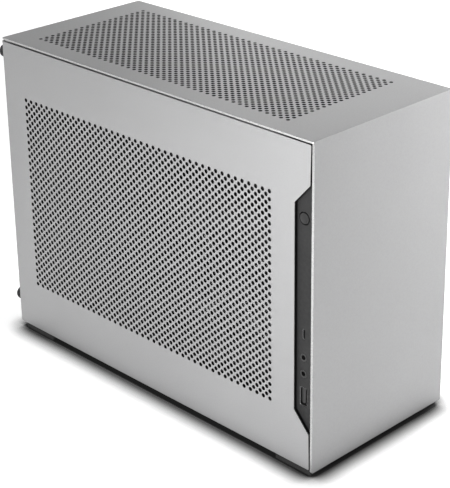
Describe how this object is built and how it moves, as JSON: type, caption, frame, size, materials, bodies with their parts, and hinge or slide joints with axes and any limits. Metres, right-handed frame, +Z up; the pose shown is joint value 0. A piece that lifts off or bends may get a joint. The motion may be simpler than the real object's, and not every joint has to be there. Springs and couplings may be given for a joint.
{
  "type": "desktop computer tower",
  "caption": "Compact desktop computer tower with perforated aluminium covers on a steel frame, a recessed side port strip, low feet and thumb screws at the rear.",
  "frame": {"origin": "middle of the whole object's footprint, thumb screws included, on the surface that the feet stand on", "axes": "+Z up, front panel faces -Y, port strip is on the -X side"},
  "size_m": [0.14, 0.3346, 0.249],
  "materials": {
    "anodised_aluminium": "fine bead-blasted, clear anodised",
    "zinc_steel": "zinc plated",
    "black_nylon": "moulded nylon",
    "black_steel": "fine-textured powder coat",
    "foot_rubber": "matt",
    "black_screw": "black oxide, knurled",
    "port_strip_plastic": "fine-textured moulding",
    "button_plastic": "fine-textured moulding",
    "connector_plastic": "moulded",
    "circuit_board": "dark solder mask",
    "connector_metal": "nickel plated",
    "brass": "turned",
    "memory_cooler": "dark anodised",
    "pump_plastic": "moulded, brushed cap",
    "hose_rubber": "braided sleeve",
    "radiator_black": "black paint",
    "fan_plastic": "moulded",
    "rotor_plastic": "moulded",
    "bare_aluminium": "rolled",
    "ribbon_black": "flat ribbon",
    "grille_wire": "plated wire",
    "supply_parts": "components on a board",
    "cable_black": "sleeved",
    "drive_aluminium": "dark anodised"
  },
  "bodies": {
    "chassis": {"front_panel": "anodised_aluminium", "stud_clips": "black_nylon", "floor_plate": "black_steel", "front_frame": "black_steel", "rear_frame": "black_steel", "left_top_rail": "black_steel", "right_top_rail": "black_steel", "dividing_tray": "black_steel", "foot_front_left": "foot_rubber", "foot_front_right": "foot_rubber", "foot_rear_left": "foot_rubber", "foot_rear_right": "foot_rubber", "port_strip": "port_strip_plastic", "power_switch": "connector_plastic", "port_board": "circuit_board", "usb_c_port": "connector_metal", "usb_a_port": "connector_metal", "audio_jacks": "connector_plastic", "main_board": "circuit_board", "board_standoffs": "brass", "board_sockets": "connector_plastic", "memory_modules": "memory_cooler", "board_heatsinks": "memory_cooler", "rear_port_shield": "connector_metal", "rear_ports": "connector_metal", "pump_block": "pump_plastic", "coolant_hoses": "hose_rubber", "radiator": "radiator_black", "fan_frame_front": "fan_plastic", "fan_frame_rear": "fan_plastic", "graphics_board": "circuit_board", "graphics_backplate": "memory_cooler", "graphics_heatsink": "bare_aluminium", "graphics_shroud": "fan_plastic", "graphics_bracket": "connector_metal", "riser_cable": "ribbon_black", "supply_case": "black_steel", "supply_grille": "grille_wire", "supply_internals": "supply_parts", "supply_mains_plug": "black_nylon", "mains_inlet": "black_nylon", "mains_cable": "cable_black", "power_cables": "cable_black", "solid_state_drive": "drive_aluminium"},
    "left_cover_assembly": {"left_cover": "anodised_aluminium", "left_cover_studs": "zinc_steel"},
    "right_cover_assembly": {"right_cover": "anodised_aluminium", "right_cover_studs": "zinc_steel"},
    "top_cover_assembly": {"top_cover": "anodised_aluminium", "top_cover_studs": "zinc_steel"},
    "button": {"power_button": "button_plastic"},
    "radiator_fan_front": {"fan_rotor_front": "rotor_plastic"},
    "radiator_fan_rear": {"fan_rotor_rear": "rotor_plastic"},
    "graphics_fan_front": {"graphics_rotor_front": "rotor_plastic"},
    "graphics_fan_rear": {"graphics_rotor_rear": "rotor_plastic"},
    "supply_fan": {"supply_rotor": "rotor_plastic"},
    "screw_left_upper": {"thumb_screw_left_upper": "black_screw"},
    "screw_left_lower": {"thumb_screw_left_lower": "black_screw"},
    "screw_right_upper": {"thumb_screw_right_upper": "black_screw"},
    "screw_right_lower": {"thumb_screw_right_lower": "black_screw"}
  },
  "joints": [
    {"name": "left_cover_pull", "type": "slide", "parent": "chassis", "child": "left_cover_assembly", "axis": [-1, 0, 0], "range_m": [0, 0.06]},
    {"name": "right_cover_pull", "type": "slide", "parent": "chassis", "child": "right_cover_assembly", "axis": [1, 0, 0], "range_m": [0, 0.06]},
    {"name": "top_cover_lift", "type": "slide", "parent": "chassis", "child": "top_cover_assembly", "axis": [0, 0, 1], "range_m": [0, 0.06]},
    {"name": "power_button_press", "type": "slide", "parent": "chassis", "child": "button", "axis": [1, 0, 0], "range_m": [0, 0.0008], "stiffness_N_per_m": 1000, "springref_m": -0.001},
    {"name": "radiator_fan_front_spin", "type": "hinge", "parent": "chassis", "child": "radiator_fan_front", "pos_m": [0, -0.06775, 0.2331], "axis": [0, 0, 1], "continuous": true},
    {"name": "radiator_fan_rear_spin", "type": "hinge", "parent": "chassis", "child": "radiator_fan_rear", "pos_m": [0, 0.05225, 0.2331], "axis": [0, 0, 1], "continuous": true},
    {"name": "graphics_fan_front_spin", "type": "hinge", "parent": "chassis", "child": "graphics_fan_front", "pos_m": [0.05, -0.06225, 0.085], "axis": [1, 0, 0], "continuous": true},
    {"name": "graphics_fan_rear_spin", "type": "hinge", "parent": "chassis", "child": "graphics_fan_rear", "pos_m": [0.05, 0.03975, 0.085], "axis": [1, 0, 0], "continuous": true},
    {"name": "supply_fan_spin", "type": "hinge", "parent": "chassis", "child": "supply_fan", "pos_m": [-0.058, -0.09025, 0.1205], "axis": [1, 0, 0], "continuous": true},
    {"name": "screw_left_upper_turn", "type": "hinge", "parent": "chassis", "child": "screw_left_upper", "pos_m": [-0.0625, 0.16375, 0.2355], "axis": [0, 1, 0], "continuous": true},
    {"name": "screw_left_lower_turn", "type": "hinge", "parent": "chassis", "child": "screw_left_lower", "pos_m": [-0.0625, 0.16375, 0.026], "axis": [0, 1, 0], "continuous": true},
    {"name": "screw_right_upper_turn", "type": "hinge", "parent": "chassis", "child": "screw_right_upper", "pos_m": [0.0625, 0.16375, 0.2355], "axis": [0, 1, 0], "continuous": true},
    {"name": "screw_right_lower_turn", "type": "hinge", "parent": "chassis", "child": "screw_right_lower", "pos_m": [0.0625, 0.16375, 0.026], "axis": [0, 1, 0], "continuous": true}
  ]
}
